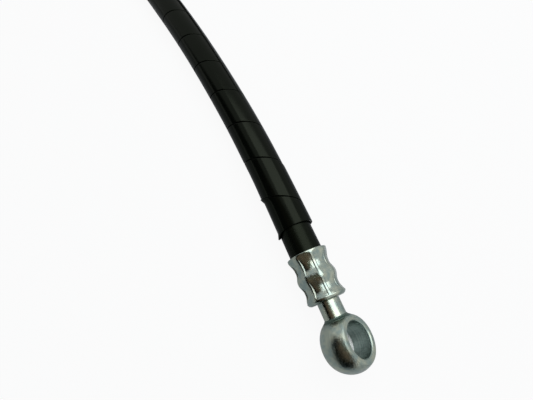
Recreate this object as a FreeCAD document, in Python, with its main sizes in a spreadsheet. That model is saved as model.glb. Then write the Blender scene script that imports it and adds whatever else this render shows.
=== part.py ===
# Hydraulic hose assembly: a wire-braided rubber hose in a spiral guard, a crimped banjo fitting at each end.
# Millimetres, +Z up, the floor at z = 0. The near fitting's axis runs along +Y, and its hose leaves to +Y.
# The origin is below the middle of the near fitting. Stations are distances from an eye's centre.
import FreeCAD, Part
import math
import os
import Sketcher
from FreeCAD import Placement, Rotation, Vector

# Driving dimensions: alias, value, what it is
DIMENSIONS = (
    ("bore_diameter", 14.1, "eye bore, a running fit on an M14 hollow bolt"),
    ("bore_chamfer", 0.4, "chamfer at both ends of the eye bore"),
    ("ball_diameter", 22.4, "ball that the eye is turned from"),
    ("eye_width", 13.0, "eye, across its two sealing faces"),
    ("seat_station", 9.4, "flat on the eye that the stem stands on"),
    ("fit_clearance", 0.05, "radial clearance between pieces that are pressed or brazed together"),
    ("spigot_diameter", 6.8, "stem's spigot in the eye"),
    ("spigot_length", 1.5, "stem's spigot in the eye"),
    ("oil_bore", 5.0, "oil way through the stem"),
    ("neck_diameter", 9.8, "stem's neck between eye and ferrule"),
    ("neck_length", 8.1, "stem's neck between eye and ferrule"),
    ("braze_diameter", 11.9, "foot of the braze fillet"),
    ("braze_height", 1.1, "braze fillet, along the neck"),
    ("braze_edge", 0.3, "thickness of the braze fillet at its edges"),
    ("groove_diameter", 8.8, "stem's groove that the ferrule's end wall is crimped into"),
    ("shoulder_diameter", 10.4, "stem's shoulder that the hose is pushed against"),
    ("shoulder_width", 1.2, "stem's shoulder that the hose is pushed against"),
    ("tail_diameter", 7.4, "stem's tail between its barbs"),
    ("barb_height", 0.2, "how far a barb stands proud of the tail"),
    ("barb_length", 2.2, "slope of one barb"),
    ("barb_pitch", 2.8, "from one barb to the next"),
    ("barb_count", 5, "barbs on the tail"),
    ("first_barb", 2.2, "from the shoulder to the first barb"),
    ("tail_length", 16.3, "stem's tail"),
    ("ferrule_length", 21.25, "ferrule, end to end"),
    ("ferrule_end_wall", 2.2, "ferrule's end wall in the stem's groove"),
    ("ferrule_corner", 1.3, "rounding of the ferrule's closed end"),
    ("collar_diameter", 17.7, "ferrule's closed end"),
    ("collar_width", 2.1, "ferrule's closed end, up to the first band"),
    ("crest_diameter", 17.5, "ferrule between its two crimped bands"),
    ("lip_diameter", 18.5, "ferrule's flared lip"),
    ("lip_width", 0.9, "ferrule's flared lip"),
    ("lip_chamfer", 0.4, "edge of the ferrule's lip"),
    ("inner_band", 5.5, "middle of the band near the neck, from the ferrule's closed end"),
    ("outer_band", 15.3, "middle of the band near the lip, from the ferrule's closed end"),
    ("band_length", 3.6, "flat of a crimped band, along the ferrule"),
    ("band_flats", 15.0, "ferrule across the jaw flats of a band"),
    ("band_ridges", 16.1, "ferrule across the ridges between jaw flats"),
    ("jaw_edge", 2.5, "rounding of a crimping jaw's edge"),
    ("jaw_width", 9.0, "crimping jaw, across the ferrule"),
    ("jaw_count", 8, "crimping jaws"),
    ("jaw_turn", 28.7, "first jaw, degrees round the ferrule"),
    ("band_wall", 1.0, "ferrule's wall at a jaw flat"),
    ("crest_wall", 1.4, "ferrule's wall at its crest"),
    ("hose_bore", 7.9, "hose, 5/16 in nominal"),
    ("liner_wall", 1.1, "hose's inner tube"),
    ("braid_wall", 0.85, "hose's wire braid"),
    ("cover_wall", 1.4, "hose's outer cover"),
    ("layer_gap", 0.1, "between one layer of the hose and the next"),
    ("guard_play", 0.2, "radial play between hose and guard"),
    ("guard_thickness", 0.9, "guard's strip"),
    ("guard_pitch", 23.75, "guard's strip, from one turn to the next"),
    ("guard_slit", 0.5, "open slit between two turns of the guard"),
    ("guard_phase", 21.85, "slit's first station beyond the ferrule, on the hose's +X side"),
    ("bare_hose", 12.5, "hose left bare between each ferrule and the guard"),
    ("straight_run", 25.0, "hose from the ferrule's mouth to its first bend"),
    ("coil_radius", 100.0, "coil's first turn, to the middle of the hose, where it starts"),
    ("coil_turn_gap", 0.5, "between one turn of the coil and the next"),
    ("rest_gap", 0.3, "between the far fitting and the turn that it lies on"),
    ("eye_tilt", 40.7, "near eye's bore, degrees from upright towards +X"),
)
COIL_QUARTERS_FLAT = 4
COIL_QUARTERS_CLIMBING = 2
SHEET_NAME = "Dimensions"

document = FreeCAD.newDocument("HydraulicHoseAssembly")
sheet = document.addObject("Spreadsheet::Sheet", SHEET_NAME)
for row, (alias, value, note) in enumerate(DIMENSIONS, start=1):
    sheet.set(f"A{row}", note)
    sheet.set(f"B{row}", str(value))
    sheet.setAlias(f"B{row}", alias)
document.recompute()


class Size:
    """A length, with its value and the sheet's expression for it."""

    def __init__(self, value, text):
        self.value = value
        self.text = text

    def joined(self, sign, other, value):
        other_text = other.text if isinstance(other, Size) else str(other)
        return Size(value, f"({self.text} {sign} {other_text})")

    def __add__(self, other):
        return self.joined("+", other, self.value + number(other))

    def __sub__(self, other):
        return self.joined("-", other, self.value - number(other))

    def __mul__(self, other):
        return self.joined("*", other, self.value * number(other))

    def __truediv__(self, other):
        return self.joined("/", other, self.value / number(other))

    def __neg__(self):
        return Size(-self.value, f"(0 - {self.text})")

    def root(self):
        return Size(math.sqrt(self.value), f"sqrt({self.text})")


def number(size):
    """The plain value of a size or a number."""
    return size.value if isinstance(size, Size) else size


def cell(alias):
    """The size in the cell with this alias."""
    return Size(float(sheet.get(alias)), f"{SHEET_NAME}.{alias}")


# Sizes that more than one piece uses
bore_radius = cell("bore_diameter") / 2
ball_radius = cell("ball_diameter") / 2
half_width = cell("eye_width") / 2
face_radius = (ball_radius * ball_radius - half_width * half_width).root()
clearance = cell("fit_clearance")
seat = cell("seat_station")
neck_radius = cell("neck_diameter") / 2
oil_radius = cell("oil_bore") / 2
ferrule_back = seat + cell("neck_length")
ferrule_mouth = ferrule_back + cell("ferrule_length")
end_wall_inside = ferrule_back + cell("ferrule_end_wall")
shoulder_start = end_wall_inside + clearance
shoulder_end = shoulder_start + cell("shoulder_width")
hose_end = shoulder_end + cell("layer_gap")
hose_bore_radius = cell("hose_bore") / 2
liner_radius = hose_bore_radius + cell("liner_wall")
braid_inside = liner_radius + cell("layer_gap")
braid_radius = braid_inside + cell("braid_wall")
cover_inside = braid_radius + cell("layer_gap")
cover_radius = cover_inside + cell("cover_wall")
guard_inside = cover_radius + cell("guard_play")
guard_radius = guard_inside + cell("guard_thickness")
guard_diameter = guard_radius * 2


def set_distance(sketch, direction, geometry, end, size):
    """Ties one coordinate of a sketch point to a size, measured from the sketch's origin."""
    origin = (-1, 1)
    point = (geometry, end)
    first, second = (origin, point) if size.value >= 0 else (point, origin)
    driving = size if size.value >= 0 else -size
    constraint = Sketcher.Constraint(direction, *first, *second, driving.value)
    sketch.setExpression(f"Constraints[{sketch.addConstraint(constraint)}]", driving.text)


def arc_between(start, end, radius):
    """The arc under a half circle from start to end, its centre to the left of the way from start to end."""
    chord = end - start
    middle = (start + end) * 0.5
    to_centre = Vector(-chord.y, chord.x, 0).normalize()
    centre = middle + to_centre * math.sqrt(radius ** 2 - (chord.Length / 2) ** 2)
    start_angle = math.atan2(start.y - centre.y, start.x - centre.x)
    end_angle = math.atan2(end.y - centre.y, end.x - centre.x)
    return Part.ArcOfCircle(Part.Circle(centre, Vector(0, 0, 1), radius), start_angle, end_angle)


def profile_sketch(body, name, plane, corners):
    """A closed profile. A corner is (x, y), or (x, y, radius) where an arc leaves it.

    A radius above zero puts the arc's centre to the left of the way round, below zero to the right.
    """
    sketch = body.newObject("Sketcher::SketchObject", f"{body.Name}_{name}")
    origin_plane = next(feature for feature in body.Origin.OriginFeatures if feature.Role == plane)
    sketch.AttachmentSupport = [(origin_plane, "")]
    sketch.MapMode = "FlatFace"
    zero = Size(0.0, "0")
    points = []
    for corner in corners:
        x, y = (size if isinstance(size, Size) else zero + size for size in corner[:2])
        points.append((x, y, Vector(x.value, y.value, 0)))
    ends = []
    arcs = []
    for index, corner in enumerate(corners):
        start = points[index][2]
        end = points[(index + 1) % len(points)][2]
        if len(corner) == 2:
            geometry = sketch.addGeometry(Part.LineSegment(start, end), False)
            ends.append((geometry, 1, 2))
            continue
        radius = corner[2]
        if radius.value > 0:
            geometry = sketch.addGeometry(arc_between(start, end, radius.value), False)
            ends.append((geometry, 1, 2))
        else:
            radius = -radius
            geometry = sketch.addGeometry(arc_between(end, start, radius.value), False)
            ends.append((geometry, 2, 1))
        arcs.append((geometry, radius))
    for index, (geometry, start_end, finish_end) in enumerate(ends):
        following = ends[(index + 1) % len(ends)]
        sketch.addConstraint(Sketcher.Constraint("Coincident", geometry, finish_end, following[0], following[1]))
        set_distance(sketch, "DistanceX", geometry, start_end, points[index][0])
        set_distance(sketch, "DistanceY", geometry, start_end, points[index][1])
    for geometry, radius in arcs:
        index = sketch.addConstraint(Sketcher.Constraint("Radius", geometry, radius.value))
        sketch.setExpression(f"Constraints[{index}]", radius.text)
    return sketch


def turned(body, name, kind, sketch, axis="V_Axis"):
    """The sketch turned full circle about its own axis: a Revolution adds it, a Groove cuts it."""
    feature = body.newObject(f"PartDesign::{kind}", f"{body.Name}_{name}")
    feature.Profile = sketch
    feature.ReferenceAxis = (sketch, [axis])
    feature.Angle = 360
    sketch.Visibility = False
    return feature


def new_body(label):
    """An empty body whose name and label are the piece's own."""
    body = document.addObject("PartDesign::Body", label)
    body.Label = label
    return body


# Fittings: the fitting's axis is the body's Y axis, the eye's centre its origin, the eye's bore its Z axis
def banjo_eye(label):
    """A ball with two flat sealing faces, bored through, and with a flat and a hole for the stem."""
    body = new_body(label)
    chamfer = cell("bore_chamfer")
    blank = profile_sketch(body, "blank_profile", "XZ_Plane", [
        (bore_radius, -(half_width - chamfer)),
        (bore_radius + chamfer, -half_width),
        (face_radius, -half_width, ball_radius),
        (face_radius, half_width),
        (bore_radius + chamfer, half_width),
        (bore_radius, half_width - chamfer),
    ])
    turned(body, "blank", "Revolution", blank)
    hole_radius = cell("spigot_diameter") / 2 + clearance
    seat_cut = profile_sketch(body, "seat_profile", "XY_Plane", [
        (0, 0),
        (hole_radius, 0),
        (hole_radius, seat),
        (ball_radius, seat),
        (ball_radius, ball_radius),
        (0, ball_radius),
    ])
    body.Tip = turned(body, "seat", "Groove", seat_cut)
    return body


def hose_stem(label):
    """The turned stem: spigot, neck, groove for the ferrule, shoulder and barbed tail, drilled through."""
    body = new_body(label)
    spigot_radius = cell("spigot_diameter") / 2
    spigot_end = seat - cell("spigot_length")
    groove_radius = cell("groove_diameter") / 2
    groove_start = ferrule_back - clearance
    shoulder_radius = cell("shoulder_diameter") / 2
    tail_radius = cell("tail_diameter") / 2
    tail_end = shoulder_end + cell("tail_length")
    blank = profile_sketch(body, "blank_profile", "XY_Plane", [
        (oil_radius, spigot_end),
        (spigot_radius, spigot_end),
        (spigot_radius, seat),
        (neck_radius, seat),
        (neck_radius, groove_start),
        (groove_radius, groove_start),
        (groove_radius, shoulder_start),
        (shoulder_radius, shoulder_start),
        (shoulder_radius, shoulder_end),
        (tail_radius, shoulder_end),
        (tail_radius, tail_end),
        (oil_radius, tail_end),
    ])
    turned(body, "blank", "Revolution", blank)
    barb_start = shoulder_end + cell("first_barb")
    barb_root = (oil_radius + tail_radius) / 2
    barb_profile = profile_sketch(body, "barb_profile", "XY_Plane", [
        (barb_root, barb_start),
        (tail_radius + cell("barb_height"), barb_start),
        (tail_radius, barb_start + cell("barb_length")),
        (barb_root, barb_start + cell("barb_length")),
    ])
    barb = turned(body, "barb", "Revolution", barb_profile)
    barbs = body.newObject("PartDesign::LinearPattern", f"{label}_barbs")
    barbs.Originals = [barb]
    barbs.Direction = (barb_profile, ["V_Axis"])
    barbs.setExpression("Occurrences", cell("barb_count").text)
    barbs.setExpression("Length", (cell("barb_pitch") * (cell("barb_count") - 1)).text)
    body.Tip = barbs
    return body


def braze_ring(label):
    """The hollow-faced ring of braze between the eye's flat and the stem's neck."""
    body = new_body(label)
    inside = neck_radius + clearance
    outside = cell("braze_diameter") / 2
    edge = cell("braze_edge")
    top = seat + cell("braze_height")
    profile = profile_sketch(body, "profile", "XY_Plane", [
        (inside, seat),
        (outside, seat),
        (outside, seat + edge, -(cell("braze_height") + edge)),
        (inside + edge, top),
        (inside, top),
    ])
    body.Tip = turned(body, "ring", "Revolution", profile)
    return body


def ferrule_bore(gap):
    """Half section of the crimped sleeve's inside, drawn in by gap: (radius, station) from end to mouth."""
    flats_inside = cell("band_flats") / 2 - cell("band_wall") - gap
    crest_inside = cell("crest_diameter") / 2 - cell("crest_wall") - gap
    mouth_inside = cover_radius + cell("layer_gap") - gap
    half_band = cell("band_length") / 2
    inner_band = ferrule_back + cell("inner_band")
    outer_band = ferrule_back + cell("outer_band")
    crest = (inner_band + outer_band) / 2
    return [
        (flats_inside, inner_band + half_band),
        (crest_inside, crest),
        (flats_inside, outer_band - half_band),
        (flats_inside, outer_band + half_band),
        (mouth_inside, ferrule_mouth - cell("lip_width") - cell("lip_chamfer")),
        (mouth_inside, ferrule_mouth),
    ]


def ferrule(label):
    """The crimped sleeve: a turned blank squeezed by a ring of jaws in two bands."""
    body = new_body(label)
    corner = cell("ferrule_corner")
    collar_radius = cell("collar_diameter") / 2
    ridge_radius = cell("band_ridges") / 2
    lip_radius = cell("lip_diameter") / 2
    crest_rise = cell("crest_diameter") / 2 - ridge_radius
    half_band = cell("band_length") / 2
    bands = [ferrule_back + cell("inner_band"), ferrule_back + cell("outer_band")]
    crest_half = (bands[1] - bands[0]) / 2 - half_band
    crest_arc = (crest_half * crest_half + crest_rise * crest_rise) / (crest_rise * 2)
    lip_edge = cell("lip_chamfer")
    lip_start = ferrule_mouth - cell("lip_width") - lip_edge
    wall_hole = cell("groove_diameter") / 2 + clearance * 2
    bore = ferrule_bore(Size(0.0, "0"))
    blank = profile_sketch(body, "blank_profile", "XY_Plane", [
        (wall_hole, ferrule_back),
        (collar_radius - corner, ferrule_back, corner),
        (collar_radius, ferrule_back + corner),
        (collar_radius, ferrule_back + cell("collar_width")),
        (ridge_radius, bands[0] - half_band),
        (ridge_radius, bands[0] + half_band, crest_arc),
        (ridge_radius, bands[1] - half_band),
        (ridge_radius, bands[1] + half_band),
        (lip_radius, lip_start),
        (lip_radius, ferrule_mouth - lip_edge),
        (lip_radius - lip_edge, ferrule_mouth),
        *reversed(bore),
        (bore[0][0], end_wall_inside),
        (wall_hole, end_wall_inside),
    ])
    turned(body, "blank", "Revolution", blank)
    flat_radius = cell("band_flats") / 2
    jaw_edge = cell("jaw_edge")
    jaw_back = flat_radius + jaw_edge
    for band_name, band in zip(("inner", "outer"), bands):
        jaw_profile = profile_sketch(body, f"{band_name}_jaw_profile", "XY_Plane", [
            (jaw_back, band - half_band - jaw_edge),
            (jaw_back, band + half_band + jaw_edge, jaw_edge),
            (flat_radius, band + half_band),
            (flat_radius, band - half_band, jaw_edge),
        ])
        jaw_profile.AttachmentOffset = Placement(Vector(), Rotation(Vector(0, 1, 0), cell("jaw_turn").value))
        jaw = body.newObject("PartDesign::Pocket", f"{label}_{band_name}_jaw")
        jaw.Profile = jaw_profile
        jaw.Midplane = True
        jaw.setExpression("Length", cell("jaw_width").text)
        jaw_profile.Visibility = False
        jaws = body.newObject("PartDesign::PolarPattern", f"{label}_{band_name}_jaws")
        jaws.Originals = [jaw]
        jaws.Axis = (jaw_profile, ["V_Axis"])
        jaws.Angle = 360
        jaws.setExpression("Occurrences", cell("jaw_count").text)
        body.Tip = jaws
    return body


def end_fitting(side, placement):
    """One fitting's four pieces, each at the fitting's placement."""
    pieces = [
        banjo_eye(f"{side}_banjo_eye"),
        hose_stem(f"{side}_hose_stem"),
        braze_ring(f"{side}_braze_ring"),
        ferrule(f"{side}_ferrule"),
    ]
    for piece in pieces:
        piece.Placement = placement
    return pieces


# The hose's route: points chosen by hand in the floor's plane, from the near ferrule to the coil
eye_tilt = math.radians(cell("eye_tilt").value)
rim_angle = math.atan2(face_radius.value, half_width.value)
eye_height = ball_radius.value * math.cos(rim_angle - eye_tilt)
near_eye = Vector(0, (ball_radius.value - ferrule_mouth.value) / 2, eye_height)
near_placement = Placement(near_eye, Rotation(Vector(0, 1, 0), cell("eye_tilt").value))
near_mouth = near_eye + Vector(0, ferrule_mouth.value, 0)
floor_height = guard_radius.value
route = [
    near_mouth,
    near_mouth + Vector(0, cell("straight_run").value, 0),
    Vector(-0.1, 91, floor_height),
    Vector(-3.4, 134, floor_height),
    Vector(-8.4, 178, floor_height),
    Vector(-15.6, 222, floor_height),
    Vector(-22.4, 258, floor_height),
    Vector(-26.1, 279, floor_height),
]
ARC_SHARE = 0.45


def unit(vector):
    """The direction of a vector."""
    return Vector(vector).normalize()


def rounded_route(points):
    """Straight runs through the points, joined by tangent arcs, and the arcs' radii."""
    edges = []
    radii = []
    start = points[0]
    for before, corner, after in zip(points, points[1:], points[2:]):
        way_in = unit(corner - before)
        way_out = unit(after - corner)
        reach = ARC_SHARE * min((corner - before).Length, (after - corner).Length)
        half_turn = way_in.getAngle(way_out) / 2
        radius = reach / math.tan(half_turn)
        arc_start = corner - way_in * reach
        arc_end = corner + way_out * reach
        arc_middle = corner + unit(way_out - way_in) * radius * (1 / math.cos(half_turn) - 1)
        edges.append(Part.LineSegment(start, arc_start).toShape())
        edges.append(Part.Arc(arc_start, arc_middle, arc_end).toShape())
        radii.append(radius)
        start = arc_end
    edges.append(Part.LineSegment(start, points[-1]).toShape())
    return Part.Wire(edges), radii


def tangent_arc(start, corner, end):
    """The arc from start to end whose tangents at its ends meet at the corner."""
    half_turn = (corner - start).getAngle(end - corner) / 2
    middle = (start + end) * 0.5
    share = math.cos(half_turn) / (1 + math.cos(half_turn))
    return Part.Arc(start, middle + (corner - middle) * share, end).toShape()


def biarc(start, way_in, end, way_out):
    """Two arcs that leave start along way_in and reach end along way_out."""
    chord = end - start
    along = chord.dot(way_in + way_out)
    spread = 2 * (1 - way_in.dot(way_out))
    reach = (math.sqrt(along ** 2 + spread * chord.dot(chord)) - along) / spread
    first_corner = start + way_in * reach
    second_corner = end - way_out * reach
    joint = (first_corner + second_corner) * 0.5
    return [tangent_arc(start, first_corner, joint), tangent_arc(joint, second_corner, end)]


# The coil: one flat turn spiralling in at a steady rate, then a half turn that climbs onto it
coil_pitch = guard_diameter.value + cell("coil_turn_gap").value
coil_start_radius = cell("coil_radius").value
straight_end = guard_diameter.value
drift = -coil_pitch / (2 * math.pi)
coil_way_in = unit(route[-1] - route[-2])
coil_start = route[-1] + coil_way_in * straight_end
coil_start_angle = math.atan2(coil_way_in.y, coil_way_in.x) + math.pi / 2 - math.atan2(drift, coil_start_radius)
coil_centre = coil_start - Vector(math.cos(coil_start_angle), math.sin(coil_start_angle), 0) * coil_start_radius
flat_turn = COIL_QUARTERS_FLAT * math.pi / 2
climbing_turn = COIL_QUARTERS_CLIMBING * math.pi / 2


def spiral(turn):
    """The place and direction in plan after turning this far, clockwise from above."""
    angle = coil_start_angle - turn
    radius = coil_start_radius + drift * turn
    outward = Vector(math.cos(angle), math.sin(angle), 0)
    onward = Vector(math.sin(angle), -math.cos(angle), 0)
    return coil_centre + outward * radius, outward * drift + onward * radius


def height_above_first_turn(plan_point, radius):
    """How far above the first turn's middle a round of this radius has to be, to lie on that turn."""
    outward = plan_point - coil_centre
    turned_by = (coil_start_angle - math.atan2(outward.y, outward.x)) % (2 * math.pi)
    sideways = outward.Length - (coil_start_radius + drift * turned_by)
    reach = radius + guard_radius.value + cell("rest_gap").value
    return math.sqrt(max(reach ** 2 - sideways ** 2, 0))


coil_end, coil_way_out = spiral(flat_turn + climbing_turn)
coil_way_out.normalize()
far_straight = straight_end + cell("bare_hose").value
far_mouth_in_plan = coil_end + coil_way_out * far_straight
rounds_over_coil = (
    (ferrule_mouth.value, cell("lip_diameter").value / 2),
    (ferrule_back.value + cell("inner_band").value, cell("band_ridges").value / 2),
    (ferrule_back.value + cell("collar_width").value, cell("collar_diameter").value / 2),
    (ferrule_back.value, cell("collar_diameter").value / 2),
    (seat.value, neck_radius.value),
    (0, half_width.value),
)
climb = max(
    height_above_first_turn(far_mouth_in_plan + coil_way_out * (ferrule_mouth.value - station), radius)
    for station, radius in rounds_over_coil
)


def coil_point(turn):
    """The place and direction on the coil's middle line after turning this far."""
    place, way = spiral(turn)
    climbed = min(max((turn - flat_turn) / climbing_turn, 0), 1)
    place.z += climb * (1 - math.cos(math.pi * climbed)) / 2
    way.z += climb * math.sin(math.pi * climbed) / 2 * math.pi / climbing_turn
    return place, unit(way)


def coil_route(last_straight):
    """A straight end, a biarc for each quarter turn, and a last straight of its own length."""
    edges = [Part.LineSegment(route[-1], coil_start).toShape()]
    place, way = coil_point(0)
    for quarter in range(COIL_QUARTERS_FLAT + COIL_QUARTERS_CLIMBING):
        next_place, next_way = coil_point((quarter + 1) * math.pi / 2)
        edges += biarc(place, way, next_place, next_way)
        place, way = next_place, next_way
    edges.append(Part.LineSegment(place, place + way * last_straight).toShape())
    return Part.Wire(edges)


def path_end(path, at_start):
    """The point and direction at one end of a path."""
    edge = path.Edges[0] if at_start else path.Edges[-1]
    parameter = edge.FirstParameter if at_start else edge.LastParameter
    return edge.valueAt(parameter), edge.tangentAt(parameter)


free_path, free_radii = rounded_route(route)
coil_path = coil_route(far_straight)
coil_guard_path = coil_route(straight_end)
far_mouth, far_way = path_end(coil_path, False)
far_eye = far_mouth + far_way * ferrule_mouth.value
far_turn = math.degrees(math.atan2(far_way.x, -far_way.y))
far_placement = Placement(far_eye, Rotation(Vector(0, 0, 1), far_turn))


# The hose: each layer is one tube from inside a ferrule, through its mouth and along the route
def swept_tube(path, inner_radius, outer_radius):
    """A hollow tube along a path."""
    start, start_way = path_end(path, True)
    solids = []
    for radius in (outer_radius, inner_radius):
        circle = Part.Wire([Part.makeCircle(radius, start, start_way)])
        solids.append(path.makePipeShell([circle], True, False))
    tube = solids[0].cut(solids[1])
    return tube.Solids[0]


def crimped_end(half_section, placement):
    """A ring inside a ferrule, turned about the fitting's axis from (radius, station) corners."""
    points = [Vector(number(radius), number(station), 0) for radius, station in half_section]
    face = Part.Face(Part.makePolygon(points + points[:1]))
    ring = face.revolve(Vector(), Vector(0, 1, 0), 360)
    ring.Placement = placement
    return ring


def plain_section(inner_radius, outer_radius):
    """Half section of a layer that the crimp doesn't shape."""
    return [
        (inner_radius, hose_end),
        (outer_radius, hose_end),
        (outer_radius, ferrule_mouth),
        (inner_radius, ferrule_mouth),
    ]


def cover_section():
    """Half section of the cover, squeezed to the ferrule's inside."""
    squeezed = ferrule_bore(cell("layer_gap"))
    return [
        (cover_inside, hose_end),
        (squeezed[0][0], hose_end),
        *squeezed,
        (cover_inside, ferrule_mouth),
    ]


def add_piece(label, shape, placement=Placement()):
    """A finished shape as a piece of the document."""
    piece = document.addObject("Part::Feature", label)
    piece.Label = label
    piece.Shape = shape
    piece.Placement = placement
    return piece


def hose_layers(prefix, path, placement):
    """The three layers of the hose along one path, each with its crimped end in that path's ferrule."""
    layers = (
        ("inner_tube", hose_bore_radius, liner_radius, plain_section(hose_bore_radius, liner_radius)),
        ("wire_braid", braid_inside, braid_radius, plain_section(braid_inside, braid_radius)),
        ("outer_cover", cover_inside, cover_radius, cover_section()),
    )
    pieces = []
    for name, inside, outside, section in layers:
        tube = swept_tube(path, inside.value, outside.value)
        shape = tube.fuse(crimped_end(section, placement)).removeSplitter()
        pieces.append(add_piece(f"{prefix}_{name}", shape.Solids[0]))
    return pieces


# The spiral guard: a flat strip wound left-handed round the hose, cut square at its near end
STRIP_SPANS_PER_TURN = 1
STRIP_STEPS_PER_TURN = 16
STRIP_TIP = 0.02


def path_place(path, distance):
    """The point, the sideways direction and the upward direction at a distance along a path."""
    left = distance
    *earlier_edges, edge = path.Edges
    for earlier_edge in earlier_edges:
        if left <= earlier_edge.Length:
            edge = earlier_edge
            break
        left -= earlier_edge.Length
    parameter = edge.getParameterByLength(min(max(left, 0), edge.Length))
    way = edge.tangentAt(parameter)
    side = unit(way.cross(Vector(0, 0, 1)))
    return edge.valueAt(parameter), side, side.cross(way)


def strip_edge(path, radius, turns, distance_at):
    """One long edge of the strip over a span of its turns: a smooth curve round the hose."""
    first_turn, last_turn = turns
    steps = max(4, round((last_turn - first_turn) * STRIP_STEPS_PER_TURN))
    points = []
    for step in range(steps + 1):
        turn = first_turn + (last_turn - first_turn) * step / steps
        angle = 2 * math.pi * turn
        place, side, up = path_place(path, distance_at(turn))
        points.append(place + side * radius * math.cos(angle) + up * radius * math.sin(angle))
    curve = Part.BSplineCurve()
    curve.interpolate(points)
    return curve.toShape()


def strip_end(long_edges, at_start):
    """The thin face across the strip where its long edges start or finish."""
    corners = [edge.valueAt(edge.FirstParameter if at_start else edge.LastParameter) for edge in long_edges]
    outside = Part.LineSegment(corners[0], corners[1]).toShape()
    inside = Part.LineSegment(corners[3], corners[2]).toShape()
    return Part.makeRuledSurface(outside, inside, 1)


def wound_strip(path, start):
    """The strip as one solid, from a square end at start to the square end of the path."""
    pitch = cell("guard_pitch").value
    width = pitch - cell("guard_slit").value
    phase = cell("guard_phase").value
    end = path.Length

    def slit(turn):
        return phase + pitch * turn

    def next_slit(turn):
        return slit(turn) + width

    def square_start(turn):
        return start

    def square_end(turn):
        return end

    first_turn = (start - width - phase) / pitch + STRIP_TIP
    full_width_from = (start - phase) / pitch
    full_width_until = (end - width - phase) / pitch
    last_turn = (end - phase) / pitch - STRIP_TIP
    middle_spans = math.ceil((full_width_until - full_width_from) * STRIP_SPANS_PER_TURN)
    span_turns = (full_width_until - full_width_from) / middle_spans
    joints = [full_width_from + span_turns * joint for joint in range(middle_spans + 1)]
    spans = [((first_turn, full_width_from), square_start, next_slit)]
    spans += [(turns, slit, next_slit) for turns in zip(joints, joints[1:])]
    spans.append(((joints[-1], last_turn), slit, square_end))
    outer = guard_radius.value
    inner = guard_inside.value
    faces = []
    for turns, near, far in spans:
        corners = ((outer, near), (outer, far), (inner, far), (inner, near))
        long_edges = [strip_edge(path, radius, turns, distance_at) for radius, distance_at in corners]
        faces += [
            Part.makeRuledSurface(edge, following, 1)
            for edge, following in zip(long_edges, long_edges[1:] + long_edges[:1])
        ]
        if turns[0] == first_turn:
            faces.append(strip_end(long_edges, True))
        if turns[1] == last_turn:
            faces.append(strip_end(long_edges, False))
    skin = Part.Compound(faces)
    skin.sewShape()
    strip = Part.Solid(skin.Shells[0])
    if strip.Volume < 0:
        strip.reverse()
    return strip


def least_gap(path, radius, step=2.0):
    """The least gap between parts of one tube that are over a half turn of the coil apart."""
    count = int(path.Length / step)
    points = path.discretize(Number=count)
    apart = int(coil_start_radius / step)
    gaps = [
        (points[far] - points[near]).Length
        for near in range(len(points))
        for far in range(near + apart, len(points))
    ]
    return min(gaps) - 2 * radius


pieces = end_fitting("near", near_placement)
pieces += hose_layers("hose", free_path, near_placement)
pieces.append(add_piece("spiral_guard", wound_strip(free_path, cell("bare_hose").value)))
pieces += hose_layers("coil", coil_path, far_placement)
coil_guard = swept_tube(coil_guard_path, guard_inside.value, guard_radius.value)
pieces.append(add_piece("coil_spiral_guard", coil_guard))
pieces += end_fitting("far", far_placement)
document.recompute()

print("arc radii of the free stretch:", [round(radius) for radius in free_radii])
print("free stretch", round(free_path.Length, 1), "coil", round(coil_path.Length, 1), "climb", round(climb, 2))
print("least gap of the coil to itself:", round(least_gap(coil_path, guard_radius.value), 2))

# Checks and files
for item in document.Objects:
    if "Invalid" in item.State or "Error" in item.State:
        raise RuntimeError(f"{item.Label} failed: {item.State}")
os.makedirs("parts", exist_ok=True)
for piece in pieces:
    shape = piece.Shape
    if shape.isNull() or not shape.isValid() or len(shape.Solids) != 1:
        raise RuntimeError(f"{piece.Label} has no sound solid")
    print(f"{piece.Label}: {shape.Volume:.1f} mm3, {shape.BoundBox}")
    shape.exportStep(f"parts/{piece.Label}.step")
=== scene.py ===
# Looks of a hydraulic hose assembly: a rubber hose in a spiral guard with a crimped banjo fitting at each end.
# Metres, in the frame of the solid model: +Z up, the floor at z = 0, the near fitting's hose leaves to +Y.
import math

import bpy
from mathutils import Euler, Matrix, Vector


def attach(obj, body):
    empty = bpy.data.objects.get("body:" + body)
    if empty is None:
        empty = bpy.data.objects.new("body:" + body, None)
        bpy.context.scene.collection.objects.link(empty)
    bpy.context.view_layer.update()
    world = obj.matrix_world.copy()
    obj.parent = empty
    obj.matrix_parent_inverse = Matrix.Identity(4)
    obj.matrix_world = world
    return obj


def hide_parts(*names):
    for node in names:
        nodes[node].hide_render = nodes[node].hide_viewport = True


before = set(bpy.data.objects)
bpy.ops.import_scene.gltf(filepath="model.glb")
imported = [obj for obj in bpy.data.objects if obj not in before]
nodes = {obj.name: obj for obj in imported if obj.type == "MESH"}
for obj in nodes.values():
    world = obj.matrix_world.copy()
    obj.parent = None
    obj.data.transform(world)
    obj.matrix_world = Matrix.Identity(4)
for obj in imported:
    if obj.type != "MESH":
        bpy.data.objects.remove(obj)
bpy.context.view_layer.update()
MM = 0.001

# The camera: close above the fitting, looking down over it and along the hose, as the photograph does.
# Its distance and lens come from how fast the hose narrows towards the far edge of the picture.
camera = bpy.data.objects.new("camera", bpy.data.cameras.new("camera"))
camera.data.lens = 20.94
camera.data.sensor_width = 36
camera.data.clip_start = 0.005
camera.location = (-0.0282, 0.003025, 0.1475)
camera.rotation_euler = Euler((math.radians(22.7), 0, math.radians(-22.3)))
bpy.context.collection.objects.link(camera)
bpy.context.scene.camera = camera


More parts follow.
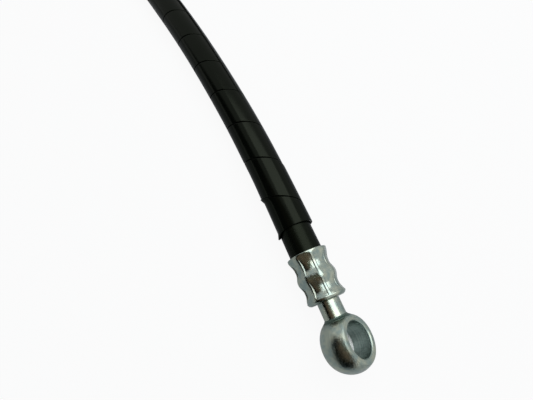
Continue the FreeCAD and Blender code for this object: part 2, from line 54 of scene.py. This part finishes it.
# The hose: black synthetic rubber over a wire braid, wrapped in cloth while it cures, which leaves a fine
# weave on it. It leaves the near ferrule straight, lies on the floor, and its spare length is put away
# as a round coil of one flat turn and a half turn that climbs onto it.
HOSE_RADIUS = 7.5 * MM
FLOOR_HEIGHT = 8.6 * MM
NEAR_MOUTH = Vector((0, 0.024975, 0.010876))
STRAIGHT_RUN = 0.025
route = [
    NEAR_MOUTH,
    NEAR_MOUTH + Vector((0, STRAIGHT_RUN, 0)),
    Vector((-0.0001, 0.091, FLOOR_HEIGHT)),
    Vector((-0.0034, 0.134, FLOOR_HEIGHT)),
    Vector((-0.0084, 0.178, FLOOR_HEIGHT)),
    Vector((-0.0156, 0.222, FLOOR_HEIGHT)),
    Vector((-0.0224, 0.258, FLOOR_HEIGHT)),
    Vector((-0.0261, 0.279, FLOOR_HEIGHT)),
]
COIL_RADIUS = 0.1
COIL_PITCH = 0.0177
COIL_LEAD_IN = 0.0172
COIL_CLIMB = 0.01768
BARE_HOSE = 0.0125
POINTS_PER_TURN = 12
FLAT_TURN = 2 * math.pi
CLIMBING_TURN = math.pi
WHOLE_TURN = FLAT_TURN + CLIMBING_TURN
TURN_BEFORE_END = 0.001
CURVE_STEPS = 24
ROUND_STEPS = 12

way_in = (route[-1] - route[-2]).normalized()
coil_drift = -COIL_PITCH / (2 * math.pi)
coil_start = route[-1] + way_in * COIL_LEAD_IN
start_angle = math.atan2(way_in.y, way_in.x) + math.pi / 2 - math.atan2(coil_drift, COIL_RADIUS)
coil_centre = coil_start - Vector((math.cos(start_angle), math.sin(start_angle), 0)) * COIL_RADIUS


def coil_point(turn, widen=1.0):
    """A point of the coil's middle line after turning this far, clockwise from above."""
    angle = start_angle - turn
    radius = (COIL_RADIUS + coil_drift * turn) * widen
    climbed = min(max((turn - FLAT_TURN) / CLIMBING_TURN, 0), 1)
    height = COIL_CLIMB * (1 - math.cos(math.pi * climbed)) / 2
    return coil_centre + Vector((math.cos(angle) * radius, math.sin(angle) * radius, height))


half_step = math.pi / POINTS_PER_TURN
corner_widening = 1 / math.cos(half_step)
for step in range(round(WHOLE_TURN / (2 * half_step))):
    route.append(coil_point((2 * step + 1) * half_step, corner_widening))
coil_end = coil_point(WHOLE_TURN)
far_way = coil_end - coil_point(WHOLE_TURN - TURN_BEFORE_END)
far_way.z = 0
far_way = far_way.normalized()
far_mouth = coil_end + far_way * (COIL_LEAD_IN + BARE_HOSE)
route.append(far_mouth)


def smooth_line(name, points, radius=0.0):
    """A curve object on one smooth spline with these control points, as a round tube if it has a radius."""
    curve = bpy.data.curves.new(name, "CURVE")
    curve.dimensions = "3D"
    curve.resolution_u = CURVE_STEPS
    curve.bevel_depth = radius
    curve.bevel_resolution = ROUND_STEPS
    spline = curve.splines.new("NURBS")
    spline.points.add(len(points) - 1)
    for control, point in zip(spline.points, points):
        control.co = (*point, 1)
    spline.order_u = 3
    spline.use_endpoint_u = True
    line = bpy.data.objects.new(name, curve)
    bpy.context.collection.objects.link(line)
    return line


class Shade:
    """A node's socket. Sums on it add Math nodes, and node() adds any other node to the same material."""

    def __init__(self, tree, socket=None):
        self.tree = tree
        self.socket = socket

    def node(self, kind, settings=None, inputs=None, output=0):
        """A new node's output: its settings go in first, then the values or links of its sockets."""
        made = self.tree.nodes.new(f"ShaderNode{kind}")
        for name, value in (settings or {}).items():
            setattr(made, name, value)
        for name, value in (inputs or {}).items():
            if isinstance(value, Shade):
                self.tree.links.new(value.socket, made.inputs[name])
            else:
                made.inputs[name].default_value = value
        return Shade(self.tree, made.outputs[output])

    def sum(self, operation, first, second):
        return self.node("Math", {"operation": operation}, {0: first, 1: second})

    def __add__(self, other):
        return self.sum("ADD", self, other)

    def __sub__(self, other):
        return self.sum("SUBTRACT", self, other)

    def __rsub__(self, other):
        return self.sum("SUBTRACT", other, self)

    def __mul__(self, other):
        return self.sum("MULTIPLY", self, other)

    __radd__ = __add__
    __rmul__ = __mul__

    def parts(self, place):
        """The three parts of a place."""
        split = self.node("SeparateXYZ", None, {0: place}).socket.node
        return [Shade(self.tree, part) for part in split.outputs]

    def mix(self, factor, first, second):
        """A colour between two colours."""
        settings = {"data_type": "RGBA"}
        return self.node("Mix", settings, {0: factor, 6: first, 7: second}, output=2)

    def between(self, low, high):
        """0 where this value is under low, 1 where it is over high, and smooth between them."""
        settings = {"interpolation_type": "SMOOTHSTEP"}
        return self.node("MapRange", settings, {"Value": self, "From Min": low, "From Max": high})

    def noise(self, place, scale, detail, roughness=0.55):
        """Soft patches over a place, about 1/scale metres across."""
        inputs = {"Vector": place, "Scale": scale, "Detail": detail, "Roughness": roughness}
        return self.node("TexNoise", None, inputs)

    def bump(self, height, distance):
        """A normal with this height on it, distance metres high where the height is 1."""
        return self.node("Bump", None, {"Height": height, "Distance": distance})


def new_finish(name):
    """An empty material, and its nodes to build on."""
    finish = bpy.data.materials.new(name)
    finish.use_nodes = True
    finish.node_tree.nodes.clear()
    return finish, Shade(finish.node_tree)


def close(shade, surface, kind="Material"):
    """Makes a shader the surface of its material or world."""
    end = shade.tree.nodes.new(f"ShaderNodeOutput{kind}")
    shade.tree.links.new(surface.socket, end.inputs["Surface"])


rubber, shade = new_finish("rubber_cover")
place = shade.node("TexCoord", output="Object")
mottle = shade.noise(place, 900, 3)
weave = shade.noise(place, 3200, 2)
close(shade, shade.node("BsdfPrincipled", None, {
    "Base Color": shade.mix(mottle, (0.0008, 0.0012, 0.0008, 1), (0.0022, 0.0029, 0.002, 1)),
    "Roughness": 0.2 + mottle * 0.14,
    "Specular IOR Level": 0.027,
    "Specular Tint": (2.8, 3.4, 2.45, 1),
    "Normal": shade.bump(weave, 0.00004),
}))

hose = smooth_line("rubber_hose", route, HOSE_RADIUS)
hose.data.materials.append(rubber)
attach(hose, "root")
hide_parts("hose_outer_cover", "hose_wire_braid", "hose_inner_tube")
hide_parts("coil_outer_cover", "coil_wire_braid", "coil_inner_tube")


# The spiral guard: one flat strip of black polyethylene, wound left-handed round the hose by hand. Its turns
# almost touch, no two gaps are quite alike, and both ends of the strip are cut square.
GUARD_PITCH = 23.75 * MM
GUARD_SLIT = 0.5 * MM
GUARD_PHASE = 21.85 * MM
GUARD_INSIDE = 7.7 * MM
GUARD_OUTSIDE = 8.6 * MM
STRIP_TIP = 0.02
STRIP_TAB = 1.9 * MM
STRIP_PLAY = 0.1 * MM
STEPS_PER_TURN = 64
STRIP_COLUMNS = 8
GUARD_LINE_STEPS = 600
# How the strip departs from an even winding: in turns from its first slit on the hose's +X side, in shares of its
# width, and in millimetres along the hose and away from it
END_TURN = 0.2
FIRST_PULL = 1.0
LATER_PULLS = ((1.5, 0.2, 1.1), (0.6, 3.2, 4.1))
SLACK = 0.4
SLACK_STARTS = (40, 62)
SLACK_ENDS = (225, 250)
END_TIGHTNESS = 0.6
END_LIFT_RIGHT = 0.25
FLARE = 1.1
FLARE_ACROSS = (0.9, 1.0)
TAB_LIFT = 0.85
TAB_STATIONS = (11.5, 13.5)

line_object = smooth_line("guard_line", route)
line_mesh = bpy.data.meshes.new_from_object(line_object)
line = [vertex.co.copy() for vertex in line_mesh.vertices]
bpy.data.objects.remove(line_object)
travelled = [0.0]
for here, there in zip(line, line[1:]):
    travelled.append(travelled[-1] + (there - here).length)
hose_length = travelled[-1]
guard_start = BARE_HOSE
guard_end = hose_length - BARE_HOSE


def hose_place(distance):
    """The point, sideways and upward directions at a distance along the hose."""
    low, high = 0, len(line) - 1
    while high - low > 1:
        middle = (low + high) // 2
        if travelled[middle] <= distance:
            low = middle
        else:
            high = middle
    share = (distance - travelled[low]) / (travelled[high] - travelled[low])
    before = line[max(low - 1, 0)]
    after = line[min(high + 1, len(line) - 1)]
    first_way = line[high] - before
    second_way = after - line[low]
    way = first_way.normalized().lerp(second_way.normalized(), share).normalized()
    side = way.cross(Vector((0, 0, 1))).normalized()
    return line[low].lerp(line[high], share), side, side.cross(way)


def smooth_step(value, low, high):
    """0 under low, 1 over high, smooth between."""
    share = min(max((value - low) / (high - low), 0), 1)
    return share * share * (3 - 2 * share)


def near_edge(turn):
    """How far along the hose the strip's nearer edge lies. The hand that wound it pulled some turns tighter."""
    pulled = FIRST_PULL + sum(pull * smooth_step(turn, start, end) for pull, start, end in LATER_PULLS)
    return GUARD_PHASE + GUARD_PITCH * turn - pulled * MM


def standing_off(turn, across, distance):
    """How much further out than a tight winding the strip stands, in millimetres: it is slack along the left of
    the free stretch, tight at its last turn, and springs up at that turn's cut corner and far edge."""
    left = max(-math.cos(2 * math.pi * turn), 0)
    right = max(math.cos(2 * math.pi * turn), 0)
    station = distance / MM
    if turn > END_TURN:
        return SLACK * left * smooth_step(station, *SLACK_STARTS) * (1 - smooth_step(station, *SLACK_ENDS))
    flare = FLARE * left ** 3 * smooth_step(across, *FLARE_ACROSS)
    tab = TAB_LIFT * left ** 6 * (1 - smooth_step(station, *TAB_STATIONS))
    return flare + tab + END_LIFT_RIGHT * right - END_TIGHTNESS * left ** 0.5


first_turn = (guard_start - GUARD_PITCH - GUARD_PHASE) / GUARD_PITCH + 2 * STRIP_TIP
last_turn = (guard_end - GUARD_PHASE) / GUARD_PITCH - STRIP_TIP
cut_edge = [(0.0, 0.1), (0.0, 0.82), (0.003, 0.96), (0.009, 1.0), (0.016, 1.0)]
section = list(cut_edge)
section += [(column / STRIP_COLUMNS, 1.0) for column in range(1, STRIP_COLUMNS)]
section += [(1 - across, proud) for across, proud in reversed(cut_edge)]
section += [(0.97, 0.0), (0.5, 0.0), (0.03, 0.0)]
steps = round((last_turn - first_turn) * STEPS_PER_TURN)
vertices = []
faces = []
for step in range(steps + 1):
    turn = first_turn + (last_turn - first_turn) * step / steps
    angle = 2 * math.pi * turn
    left = max(-math.cos(angle), 0)
    slit = GUARD_SLIT * (1 - left) if turn < END_TURN else GUARD_SLIT
    near = max(near_edge(turn), guard_start - STRIP_TAB * left ** 8)
    far = min(near_edge(turn + 1) - slit, guard_end)
    for across, proud in section:
        distance = near + (far - near) * across
        point, side, up = hose_place(distance)
        radius = GUARD_INSIDE + (GUARD_OUTSIDE - GUARD_INSIDE) * proud + standing_off(turn, across, distance) * MM
        radius = max(radius, HOSE_RADIUS + STRIP_PLAY * (1 + proud))
        vertices.append(point + (side * math.cos(angle) + up * math.sin(angle)) * radius)
count = len(section)
for step in range(steps):
    for corner in range(count):
        here = step * count + corner
        beside = step * count + (corner + 1) % count
        faces.append((here, beside, beside + count, here + count))
faces.append(tuple(range(count)))
faces.append(tuple(reversed(range(steps * count, steps * count + count))))

guard_mesh = bpy.data.meshes.new("spiral_guard_strip")
guard_mesh.from_pydata(vertices, [], faces)
guard_mesh.polygons.foreach_set("use_smooth", [True] * len(faces))
guard = bpy.data.objects.new("spiral_guard_strip", guard_mesh)
bpy.context.collection.objects.link(guard)

plastic, shade = new_finish("guard_polyethylene")
place = shade.node("TexCoord", output="Object")
cloud = shade.noise(place, 120, 4)
close(shade, shade.node("BsdfPrincipled", None, {
    "Base Color": shade.mix(cloud, (0.0008, 0.0012, 0.0009, 1), (0.002, 0.0026, 0.0019, 1)),
    "Roughness": 0.11 + cloud * 0.12,
    "Specular IOR Level": 0.027,
    "Specular Tint": (2.9, 3.4, 2.6, 1),
}))
guard_mesh.materials.append(plastic)
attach(guard, "root")
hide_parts("spiral_guard", "coil_spiral_guard")
for step in range(GUARD_LINE_STEPS + 1):
    hose_place(guard_start + (guard_end - guard_start) * step / GUARD_LINE_STEPS)[0]

# The fittings: each stands on its own axis, from the middle of its eye to the ferrule's mouth. The near one is
# rolled so that its eye leans to the right, and the far one lies level on the coil.
FERRULE_MOUTH = 38.75 * MM
EYE_ROLL = math.radians(40.7)
near_eye = NEAR_MOUTH - Vector((0, FERRULE_MOUTH, 0))
far_eye = far_mouth + far_way * FERRULE_MOUTH
fitting_places = {
    "near": Matrix.Translation(near_eye) @ Matrix.Rotation(EYE_ROLL, 4, "Y"),
    "far": Matrix.Translation(far_eye) @ Matrix.Rotation(math.atan2(far_way.x, -far_way.y), 4, "Z"),
}


def revolved(name, profile, steps, finish, about="Z"):
    """A mesh turned about an axis from (radius, height) points in millimetres. A profile that ends where it began
    makes a closed ring."""
    closed = profile[0] == profile[-1]
    rings = profile[:-1] if closed else profile
    points = []
    for radius, height in rings:
        for turn in range(steps):
            angle = 2 * math.pi * turn / steps
            flat = (radius * math.cos(angle) * MM, radius * math.sin(angle) * MM)
            points.append((*flat, height * MM) if about == "Z" else (flat[0], height * MM, -flat[1]))
    faces = []
    for ring in range(len(rings) if closed else len(rings) - 1):
        above = (ring + 1) % len(rings)
        for turn in range(steps):
            beside = (turn + 1) % steps
            lower_side = (ring * steps + turn, ring * steps + beside)
            faces.append((*lower_side, above * steps + beside, above * steps + turn))
    mesh = bpy.data.meshes.new(name)
    mesh.from_pydata(points, [], faces)
    mesh.polygons.foreach_set("use_smooth", [True] * len(faces))
    mesh.materials.append(finish)
    return mesh


def fit_to_both_ends(kind, mesh, node_kind):
    """Puts a piece at both fittings, in place of the solid model's node."""
    for side, fitting_place in fitting_places.items():
        piece = bpy.data.objects.new(f"{side}_{kind}", mesh)
        bpy.context.collection.objects.link(piece)
        piece.matrix_world = fitting_place
        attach(piece, "root")
        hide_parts(f"{side}_{node_kind}")


def plating(shade, place, tone=1.0):
    """The colour, roughness and relief of bright zinc: cool grey with warmer, duller patches, and a fine grain on a
    slightly wavy skin, as a tumbling barrel leaves it."""
    cloud = shade.noise(place, 300, 6, 0.65)
    grain = shade.noise(place, 2600, 2)
    cool = tuple(tone * level for level in (0.212, 0.27, 0.254)) + (1,)
    warm = tuple(tone * level for level in (0.345, 0.372, 0.305)) + (1,)
    colour = shade.mix(cloud.between(0.35, 0.65), cool, warm)
    roughness = 0.13 + cloud * 0.12 + grain * 0.08
    return colour, roughness, cloud + grain * 0.6


# The banjo eyes: each is a steel ball turned on a lathe, bored through for the hollow bolt and faced on both
# sides, with an oil way in from the stem. The bore wall is a darker green-grey with its turning marks, and a
# near-white band near its back end is a painted highlight. Millimetres.
BORE = 7.05
BALL = 11.2
HALF_WIDTH = 6.5
CHAMFER = 0.4
EDGE = 0.18
OIL_WAY = 2.5
SEAT = 9.4
BORE_RINGS = 14
BORE_RING_STEP = 0.45
BALL_RINGS = 15
EDGE_ANGLE = 0.8
PAINTED_HIGHLIGHT_SPAN = (-3.0, -2.85)
FACED_FROM = (5.9, 6.1)
SHARP_ANGLE = 25
face_radius = math.sqrt(BALL ** 2 - HALF_WIDTH ** 2)
face_angle = math.degrees(math.asin(HALF_WIDTH / BALL))
upper = [(BORE, ring * BORE_RING_STEP) for ring in range(BORE_RINGS - 1)]
upper.append((BORE, HALF_WIDTH - CHAMFER))
upper += [(BORE + CHAMFER * 0.5, HALF_WIDTH - CHAMFER * 0.5), (BORE + CHAMFER, HALF_WIDTH)]
upper += [(BORE + CHAMFER + 0.05, HALF_WIDTH), (8.4, HALF_WIDTH), (face_radius - EDGE, HALF_WIDTH)]
upper += [(face_radius - EDGE * 0.35, HALF_WIDTH - EDGE * 0.12)]
for ring in range(1, BALL_RINGS):
    angle = math.radians((face_angle - EDGE_ANGLE) * (1 - ring / BALL_RINGS))
    upper.append((BALL * math.cos(angle), BALL * math.sin(angle)))
lower = [(radius, -height) for radius, height in reversed(upper[1:])]
eye_profile = upper + [(BALL, 0.0)] + lower + [upper[0]]

eye_steel, shade = new_finish("zinc_plated_eye")
place = shade.node("TexCoord", output="Object")
across_x, along_y, up_z = shade.parts(place)
flat_place = shade.node("CombineXYZ", None, {0: across_x, 1: along_y})
from_axis = shade.node("VectorMath", {"operation": "LENGTH"}, {0: flat_place}, output="Value")
in_bore = 1 - from_axis.between((BORE + 0.12) * MM, (BORE + 0.2) * MM)
colour, roughness, relief = plating(shade, place)
colour_cloud = shade.noise(place, 700, 3)
rings = shade.node("TexNoise", {"noise_dimensions": "1D"}, {"W": up_z, "Scale": 2600, "Detail": 3})
wall = shade.mix(rings.between(0.35, 0.65), (0.18, 0.245, 0.225, 1), (0.31, 0.38, 0.35, 1))
# Painted highlight: a near-white band round the bore wall near its back end stands in for a bright reflection
# there, and stays glossier than the rest of the wall.
painted_highlight_band = 1 - up_z.between(PAINTED_HIGHLIGHT_SPAN[0] * MM, PAINTED_HIGHLIGHT_SPAN[1] * MM)
wall = shade.mix(painted_highlight_band, wall, (0.93, 0.97, 0.94, 1))
dull = in_bore * (1 - painted_highlight_band)
faced = up_z.between(FACED_FROM[0] * MM, FACED_FROM[1] * MM) * (1 - in_bore)
# Painted shade: a darker green ring on the ball round the stem, where the neck meets the ball, also made rougher.
stem_place = shade.node("CombineXYZ", None, {0: across_x, 1: up_z})
from_stem = shade.node("VectorMath", {"operation": "LENGTH"}, {0: stem_place}, output="Value")
painted_shade_round_stem = (1 - (from_stem + colour_cloud * 1.4 * MM).between(5.9 * MM, 7.7 * MM)) * along_y.between(7 * MM, 8 * MM)
close(shade, shade.node("BsdfPrincipled", None, {
    "Base Color": shade.mix(in_bore, shade.mix(painted_shade_round_stem * 0.7, colour, (0.05, 0.09, 0.07, 1)), wall),
    "Metallic": 1.0,
    "Roughness": roughness + dull * 0.1 + painted_shade_round_stem * 0.1 + faced * 0.2,
    "Normal": shade.bump(rings * (0.05 + dull * 0.15) + relief, 0.00011),
}))
eye_mesh = revolved("banjo_eye", eye_profile, 256, eye_steel)
for vertex in eye_mesh.vertices:
    vertex.co.y = min(vertex.co.y, SEAT * MM)
body = bpy.data.objects.new("eye_body", eye_mesh)
drill_profile = [(0.001, 0.0), (OIL_WAY, 0.0), (OIL_WAY, SEAT + 2), (0.001, SEAT + 2)]
drill_mesh = revolved("oil_drill", drill_profile, 48, eye_steel, "Y")
drill = bpy.data.objects.new("oil_drill", drill_mesh)
for thing in (body, drill):
    bpy.context.collection.objects.link(thing)
cut = body.modifiers.new("oil_way", "BOOLEAN")
cut.object = drill
cut.operation = "DIFFERENCE"
cut.solver = "EXACT"
bpy.context.view_layer.update()
drilled_mesh = bpy.data.meshes.new_from_object(body.evaluated_get(bpy.context.evaluated_depsgraph_get()))
drilled_mesh.name = "drilled_banjo_eye"
bpy.data.objects.remove(body)
bpy.data.objects.remove(drill)
drilled_mesh.set_sharp_from_angle(angle=math.radians(SHARP_ANGLE))
fit_to_both_ends("drilled_eye", drilled_mesh, "banjo_eye")


# The stems: turned steel with a smooth neck between eye and ferrule, and the braze that joins stem and eye,
# a dull green-grey fillet, much darker than the plated steel round it.
neck_steel, shade = new_finish("zinc_plated_neck")
place = shade.node("TexCoord", output="Object")
colour, roughness, relief = plating(shade, place)
close(shade, shade.node("BsdfPrincipled", None, {
    "Base Color": colour,
    "Metallic": 1.0,
    "Roughness": roughness - 0.02,
    "Normal": shade.bump(relief, 0.00007),
}))
for side in ("near", "far"):
    stem = nodes[f"{side}_hose_stem"]
    stem.data.materials.clear()
    stem.data.materials.append(neck_steel)

braze, shade = new_finish("plated_braze")
place = shade.node("TexCoord", output="Object")
colour, roughness, relief = plating(shade, place, 0.4)
close(shade, shade.node("BsdfPrincipled", None, {
    "Base Color": shade.mix(0.5, colour, (0.05, 0.11, 0.09, 1)),
    "Metallic": 1.0,
    "Roughness": roughness + 0.2,
    "Normal": shade.bump(relief, 0.00025),
}))
fillet = [(4.88, 9.35), (6.25, 9.22), (6.1, 9.45), (5.75, 9.68), (5.45, 9.9), (5.25, 10.12), (5.12, 10.36)]
fillet += [(5.1, 10.45), (5.02, 10.52), (4.88, 10.55), (4.88, 9.35)]
fit_to_both_ends("braze_fillet", revolved("braze_fillet", fillet, 96, braze, "Y"), "braze_ring")


# The ferrules: mild steel sleeves, crimped on by two presses of eight jaws. Each jaw leaves a hollow print,
# and steel squeezed up between two jaws stands as a narrow ridge. Millimetres and degrees.
BANDS = (23.0, 32.8)
BAND_REACH = 4.8
LIP_REACH = 5.9
BAND_BED = 0.5
JAWS = 8
JAW_TURN = 39.2
PRINT_DEPTH = 1.32
RIDGE_DEPTHS = (0.95, 1.15, 0.8, 0.82, 0.9, 0.8, 1.0, 0.85)
RIDGE_HALF_ANGLE = 4.2
RIDGE_SIDE_ANGLE = 2.2
CORNER_ROUND = 3.0
CORNERS_START = (19.1, 21)
CORNERS_END = (37.6, 38.4)
FLAT_SHARE = 0.977
FIRST_STATION = 19.1
STATION_STEP = 0.2
STATION_COUNT = 96
ANGLES = 480
outline = (
    (17.5, 4.95), (17.5, 5.6), (17.5, 6.6), (17.52, 7.1), (17.65, 7.6), (17.9, 8.05), (18.25, 8.42),
    (18.65, 8.66), (19.1, 8.78),
)
envelope = ((19.1, 8.78), (19.9, 8.82), (28.0, 8.72), (32.8, 8.9), (37.0, 9.1), (38.4, 9.22))
mouth = (
    (38.6, 9.2), (38.7, 9.1), (38.75, 8.9), (38.75, 8.2), (38.65, 7.95), (38.35, 7.8), (36.0, 7.6), (34.3, 7.3),
)


def between_points(points, at):
    """The value at a place between points, by straight runs."""
    for (start, first), (end, second) in zip(points, points[1:]):
        if at <= end:
            return first + (second - first) * (at - start) / (end - start)
    return points[-1][1]


def eight_sided(radius, angle):
    """The radius of an eight-sided section with rounded corners in line with the ridges."""
    jaw = 360 / JAWS
    from_corner = abs((angle - JAW_TURN + jaw / 2) % jaw - jaw / 2)
    from_flat = math.radians(jaw / 2 - from_corner)
    flat = radius * FLAT_SHARE
    corner_centre = (flat - CORNER_ROUND) / math.cos(math.radians(jaw / 2))
    corner_side = corner_centre * math.sin(math.radians(jaw / 2))
    if flat * math.tan(from_flat) <= corner_side:
        return flat / math.cos(from_flat)
    turn = math.radians(from_corner)
    return corner_centre * math.cos(turn) + math.sqrt(CORNER_ROUND ** 2 - (corner_centre * math.sin(turn)) ** 2)


def ferrule_radius(station, angle):
    """The crimped sleeve's outside radius at a station and an angle, in millimetres and degrees."""
    pressed = 0
    for band in BANDS:
        reach = LIP_REACH if station > BANDS[-1] else BAND_REACH
        off = max(abs(station - band) - BAND_BED, 0) / (reach - BAND_BED)
        if off < 1:
            pressed = (1 + math.cos(math.pi * off)) / 2
    jaw = 360 / JAWS
    from_ridge = abs((angle - JAW_TURN + jaw / 2) % jaw - jaw / 2)
    ridge_depth = RIDGE_DEPTHS[round((angle - JAW_TURN) / jaw) % JAWS]
    side = RIDGE_SIDE_ANGLE / 2
    ridge = 1 - smooth_step(from_ridge, RIDGE_HALF_ANGLE - side, RIDGE_HALF_ANGLE + side)
    radius = between_points(envelope, station)
    squareness = (1 - pressed) * smooth_step(station, *CORNERS_START) * (1 - smooth_step(station, *CORNERS_END))
    corners = (eight_sided(radius, angle) - radius) * squareness
    return radius + corners - pressed * (PRINT_DEPTH + (ridge_depth - PRINT_DEPTH) * ridge)


sleeve_steel, shade = new_finish("zinc_plated_sleeve")
place = shade.node("TexCoord", output="Object")
colour, roughness, relief = plating(shade, place)
close(shade, shade.node("BsdfPrincipled", None, {
    "Base Color": colour,
    "Metallic": 1.0,
    "Roughness": roughness - 0.07,
    "Normal": shade.bump(relief, 0.0001),
}))
rows = [[radius] * ANGLES for station, radius in outline]
levels = [station for station, radius in outline]
for step in range(1, STATION_COUNT + 1):
    station = FIRST_STATION + STATION_STEP * step
    levels.append(station)
    rows.append([ferrule_radius(station, 360 * turn / ANGLES) for turn in range(ANGLES)])
for station, radius in mouth:
    levels.append(station)
    rows.append([radius] * ANGLES)
points = []
for station, row in zip(levels, rows):
    for turn, radius in enumerate(row):
        angle = 2 * math.pi * turn / ANGLES
        points.append((radius * math.cos(angle) * MM, station * MM, radius * math.sin(angle) * MM))
faces = []
for row in range(len(rows) - 1):
    for turn in range(ANGLES):
        here = row * ANGLES + turn
        beside = row * ANGLES + (turn + 1) % ANGLES
        faces.append((here, here + ANGLES, beside + ANGLES, beside))
ferrule_mesh = bpy.data.meshes.new("crimped_ferrule")
ferrule_mesh.from_pydata(points, [], faces)
ferrule_mesh.polygons.foreach_set("use_smooth", [True] * len(faces))
ferrule_mesh.materials.append(sleeve_steel)
fit_to_both_ends("crimped_ferrule", ferrule_mesh, "ferrule")


# The room: a pale floor, a white surround, a wide lamp above on the right, and a dark cloth on the left,
# hung from overhead down to the floor, that only mirrors see. The cloth casts no light or shadow on matt
# surfaces, but it glows with painted light: near black low down, brown above and greener near the top, so
# that mirrors show painted reflections of a dark room.
def seen_directly(shade):
    """1 for rays from the camera, a mirror or glass, and 0 for all others."""
    rays = [shade.node("LightPath", output=f"Is {ray} Ray") for ray in ("Camera", "Glossy", "Transmission")]
    return shade.sum("MAXIMUM", shade.sum("MAXIMUM", rays[0], rays[1]), rays[2])


FLOOR_REACH = 3.0
corners = [(-FLOOR_REACH, -FLOOR_REACH, 0), (FLOOR_REACH, -FLOOR_REACH, 0)]
corners += [(FLOOR_REACH, FLOOR_REACH, 0), (-FLOOR_REACH, FLOOR_REACH, 0)]
floor_mesh = bpy.data.meshes.new("floor")
floor_mesh.from_pydata(corners, [], [(0, 1, 2, 3)])
floor = bpy.data.objects.new("floor", floor_mesh)
bpy.context.collection.objects.link(floor)
paper, shade = new_finish("pale_floor")
matt = shade.node("BsdfDiffuse", None, {"Color": (0.55, 0.585, 0.61, 1)})
white = shade.node("Emission", None, {"Color": (1, 1, 1, 1), "Strength": 1.0})
in_mirrors = shade.node("LightPath", output="Is Glossy Ray")
close(shade, shade.node("MixShader", None, {0: seen_directly(shade) * 0.93 - in_mirrors * 0.79, 1: matt, 2: white}))
floor_mesh.materials.append(paper)

world = bpy.data.worlds.new("surround")
world.use_nodes = True
world.node_tree.nodes.clear()
bpy.context.scene.world = world
shade = Shade(world.node_tree)
strength = 0.25 + seen_directly(shade) * 0.75
close(shade, shade.node("Background", None, {"Color": (1, 1, 1, 1), "Strength": strength}), "World")

lamp_data = bpy.data.lights.new("window", "AREA")
lamp_data.shape = "RECTANGLE"
lamp_data.size = 0.7
lamp_data.size_y = 0.77
lamp_data.energy = 4.6
lamp = bpy.data.objects.new("window", lamp_data)
lamp.location = (0.23, 0.215, 0.62)
bpy.context.collection.objects.link(lamp)

CLOTH_DISTANCE = 2.0
CLOTH_SIDES = (132, 264)
CLOTH_TOP = 79
CLOTH_HEM = ((132, 11), (150, 9), (180, 5), (190, 4), (210, -4), (235, -10), (264, -6))
CLOTH_STEPS = 24
CLOTH_ABOVE_FLOOR = 0.0005
points = []
for column in range(CLOTH_STEPS + 1):
    azimuth = CLOTH_SIDES[0] + (CLOTH_SIDES[1] - CLOTH_SIDES[0]) * column / CLOTH_STEPS
    hem = between_points(CLOTH_HEM, azimuth)
    for row in range(CLOTH_STEPS + 1):
        height = math.radians(hem + (CLOTH_TOP - hem) * row / CLOTH_STEPS)
        turn = math.radians(azimuth)
        way = Vector((math.cos(height) * math.cos(turn), math.cos(height) * math.sin(turn), math.sin(height)))
        to_floor = (near_eye.z - CLOTH_ABOVE_FLOOR) / max(-way.z, 0.001)
        points.append(near_eye + way * min(CLOTH_DISTANCE, to_floor))
faces = []
for column in range(CLOTH_STEPS):
    for row in range(CLOTH_STEPS):
        here = column * (CLOTH_STEPS + 1) + row
        faces.append((here, here + 1, here + CLOTH_STEPS + 2, here + CLOTH_STEPS + 1))
cloth_mesh = bpy.data.meshes.new("painted_reflection_cloth")
cloth_mesh.from_pydata(points, [], faces)
cloth = bpy.data.objects.new("painted_reflection_cloth", cloth_mesh)
for ray in ("camera", "diffuse", "shadow", "transmission"):
    setattr(cloth, f"visible_{ray}", False)
bpy.context.collection.objects.link(cloth)
painted_reflection_glow, shade = new_finish("painted_reflection_cloth")
place = shade.node("TexCoord", output="Object")
height = shade.parts(place)[2] * (1 / CLOTH_DISTANCE)
run = shade.node("VectorMath", {"operation": "DOT_PRODUCT"}, {0: place, 1: (-0.707, 0.707, 0)}, output="Value")
patches = shade.noise(place, 5 / CLOTH_DISTANCE, 4)
# Painted light on the glowing cloth: near black where it stands for shade, brown where this mask calls it lit, and
# greener near the top.
lit = (height - run * (0.27 / CLOTH_DISTANCE) + patches * 0.23).between(0.5, 0.66)
painted_glow = shade.mix(patches.between(0.35, 0.65), (0.2, 0.12, 0.08, 1), (0.16, 0.13, 0.095, 1))
painted_glow = shade.mix(height.between(0.8, 0.94), painted_glow, (0.22, 0.24, 0.17, 1))
close(shade, shade.node("BsdfPrincipled", None, {
    "Base Color": (0, 0, 0, 1),
    "Specular IOR Level": 0.0,
    "Emission Color": shade.mix(lit, (0.002, 0.004, 0.003, 1), painted_glow),
    "Emission Strength": 1.0,
}))
cloth_mesh.materials.append(painted_reflection_glow)

bpy.context.scene.view_settings.view_transform = "Standard"
